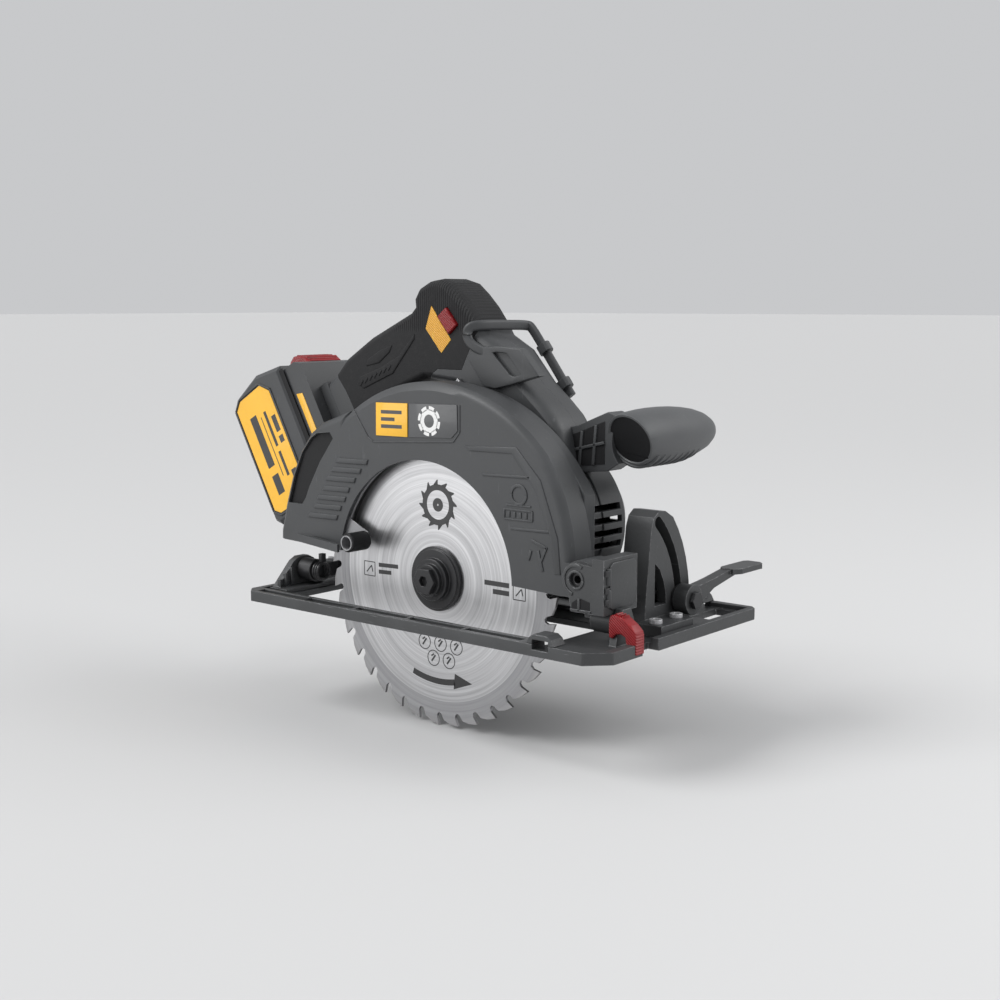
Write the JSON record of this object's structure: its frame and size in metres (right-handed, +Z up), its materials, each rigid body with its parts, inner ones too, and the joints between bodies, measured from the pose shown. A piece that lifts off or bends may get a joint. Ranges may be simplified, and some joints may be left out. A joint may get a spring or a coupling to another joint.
{
  "type": "circular saw",
  "caption": "Cordless circular saw with a swinging lower guard, tilting shoe, depth hinge, geared motor, slide-on battery and a rubber-covered rear handle.",
  "frame": {"origin": "on the sole of the shoe, in the blade's mid-plane, straight under the spindle", "axes": "+X points the way the saw cuts, +Y points from the blade to the motor, +Z points up from the sole"},
  "size_m": [0.3604, 0.185, 0.2738],
  "materials": {
    "aluminium_cast": "dark powder coat",
    "black_steel": "black oxide",
    "bright_steel": "brushed",
    "dark_plastic": "fine moulded texture",
    "black_plastic": "matte",
    "rubber_grip": "ribbed overmould",
    "yellow_plastic": "matte",
    "label_film": "printed film",
    "badge_film": "printed film",
    "red_plastic": "matte",
    "copper_winding": "enamelled",
    "circuit_board": "satin",
    "cell_wrap": "shrink wrap",
    "zinc_screw": "zinc plated"
  },
  "bodies": {
    "shoe": {"shoe_plate": "aluminium_cast", "fence_guides": "aluminium_cast", "bevel_quadrant": "aluminium_cast", "quadrant_screws": "zinc_screw", "rear_hinge": "aluminium_cast", "cut_line_pointer": "red_plastic"},
    "bevel_frame": {"front_bracket": "aluminium_cast", "tilt_pins": "bright_steel", "depth_arc": "bright_steel", "rear_bracket": "black_steel", "guide_rivet": "zinc_screw", "bevel_bolt": "black_steel"},
    "bevel_lock_lever": {"bevel_lever": "aluminium_cast"},
    "saw": {"upper_guard": "dark_plastic", "guard_inner_half": "dark_plastic", "chip_outlet": "black_plastic", "badge": "badge_film", "gear_case": "aluminium_cast", "motor_housing": "dark_plastic", "motor_cap": "dark_plastic", "stator": "bright_steel", "windings": "copper_winding", "bearings": "bright_steel", "handle_near": "dark_plastic", "handle_far": "dark_plastic", "grip_overmould": "rubber_grip", "side_accents": "yellow_plastic", "switch": "black_plastic", "controller": "circuit_board", "front_handle_arm": "dark_plastic", "front_knob": "dark_plastic", "hook_clips": "dark_plastic", "battery_dock": "dark_plastic", "dock_contacts": "bright_steel", "depth_bolt": "zinc_screw", "depth_pin": "zinc_screw", "housing_screws": "zinc_screw"},
    "spindle": {"spindle_shaft": "bright_steel", "spindle_gear": "bright_steel", "inner_flange": "black_steel", "outer_flange": "black_steel", "blade": "bright_steel", "blade_bolt": "black_steel"},
    "layshaft": {"layshaft": "bright_steel"},
    "rotor": {"rotor": "bright_steel", "pinion": "bright_steel", "fan": "black_plastic"},
    "swing_guard": {"lower_guard": "aluminium_cast", "lift_lever": "aluminium_cast", "lift_sleeve": "rubber_grip"},
    "trigger": {"trigger": "dark_plastic"},
    "lock_off": {"lock_off_button": "red_plastic"},
    "spindle_lock": {"spindle_lock": "black_plastic"},
    "rafter_hook": {"rafter_hook": "black_steel"},
    "depth_lock_lever": {"depth_lever": "dark_plastic"},
    "battery": {"pack_case": "dark_plastic", "pack_cover": "dark_plastic", "cells": "cell_wrap", "pack_labels": "label_film"},
    "battery_latch": {"pack_latch": "red_plastic"}
  },
  "joints": [
    {"name": "bevel_tilt", "type": "hinge", "parent": "shoe", "child": "bevel_frame", "pos_m": [0, 0, 0.016], "axis": [1, 0, 0], "range_deg": [0, 45]},
    {"name": "bevel_lock_turn", "type": "hinge", "parent": "bevel_frame", "child": "bevel_lock_lever", "pos_m": [0.136, 0.06696, 0.01834], "axis": [1, 0, 0], "range_deg": [0, 45]},
    {"name": "depth_swing", "type": "hinge", "parent": "bevel_frame", "child": "saw", "pos_m": [0.115, 0, 0.039], "axis": [0, 1, 0], "range_deg": [0, 32]},
    {"name": "spindle_spin", "type": "hinge", "parent": "saw", "child": "spindle", "pos_m": [0, 0, 0.024], "axis": [0, 1, 0], "continuous": true},
    {"name": "layshaft_spin", "type": "hinge", "parent": "saw", "child": "layshaft", "pos_m": [0.01524, 0.03, 0.03987], "axis": [0, 1, 0], "continuous": true},
    {"name": "rotor_spin", "type": "hinge", "parent": "saw", "child": "rotor", "pos_m": [0.044, 0.06, 0.058], "axis": [0, 1, 0], "continuous": true},
    {"name": "guard_swing", "type": "hinge", "parent": "saw", "child": "swing_guard", "pos_m": [0, 0, 0.024], "axis": [0, 1, 0], "range_deg": [0, 155]},
    {"name": "trigger_pull", "type": "hinge", "parent": "saw", "child": "trigger", "pos_m": [-0.011, 0.042, 0.151], "axis": [0, 1, 0], "range_deg": [0, 10], "stiffness_Nm_per_rad": 1.2},
    {"name": "lock_off_push", "type": "slide", "parent": "saw", "child": "lock_off", "axis": [0, 1, 0], "range_m": [-0.003, 0.003], "stiffness_N_per_m": 400},
    {"name": "spindle_lock_push", "type": "slide", "parent": "saw", "child": "spindle_lock", "axis": [0, -1, 0], "range_m": [0, 0.003], "stiffness_N_per_m": 500},
    {"name": "rafter_hook_swing", "type": "hinge", "parent": "saw", "child": "rafter_hook", "pos_m": [0.023, 0.0635, 0.175], "axis": [-0.5967, 0, 0.8025], "range_deg": [0, 170]},
    {"name": "depth_lock_turn", "type": "hinge", "parent": "saw", "child": "depth_lock_lever", "pos_m": [-0.03617, 0.028, 0.05489], "axis": [0, 1, 0], "range_deg": [-40, 0]},
    {"name": "battery_slide", "type": "slide", "parent": "saw", "child": "battery", "axis": [-0.4909, 0, 0.8712], "range_m": [0, 0.07]},
    {"name": "battery_latch_press", "type": "slide", "parent": "battery", "child": "battery_latch", "axis": [0.4909, 0, -0.8712], "range_m": [0, 0.004], "stiffness_N_per_m": 800}
  ],
  "couplings": [
    {"joint": "layshaft_spin", "follows": "spindle_spin", "ratio": -2.1429},
    {"joint": "rotor_spin", "follows": "spindle_spin", "ratio": 4.4805}
  ]
}
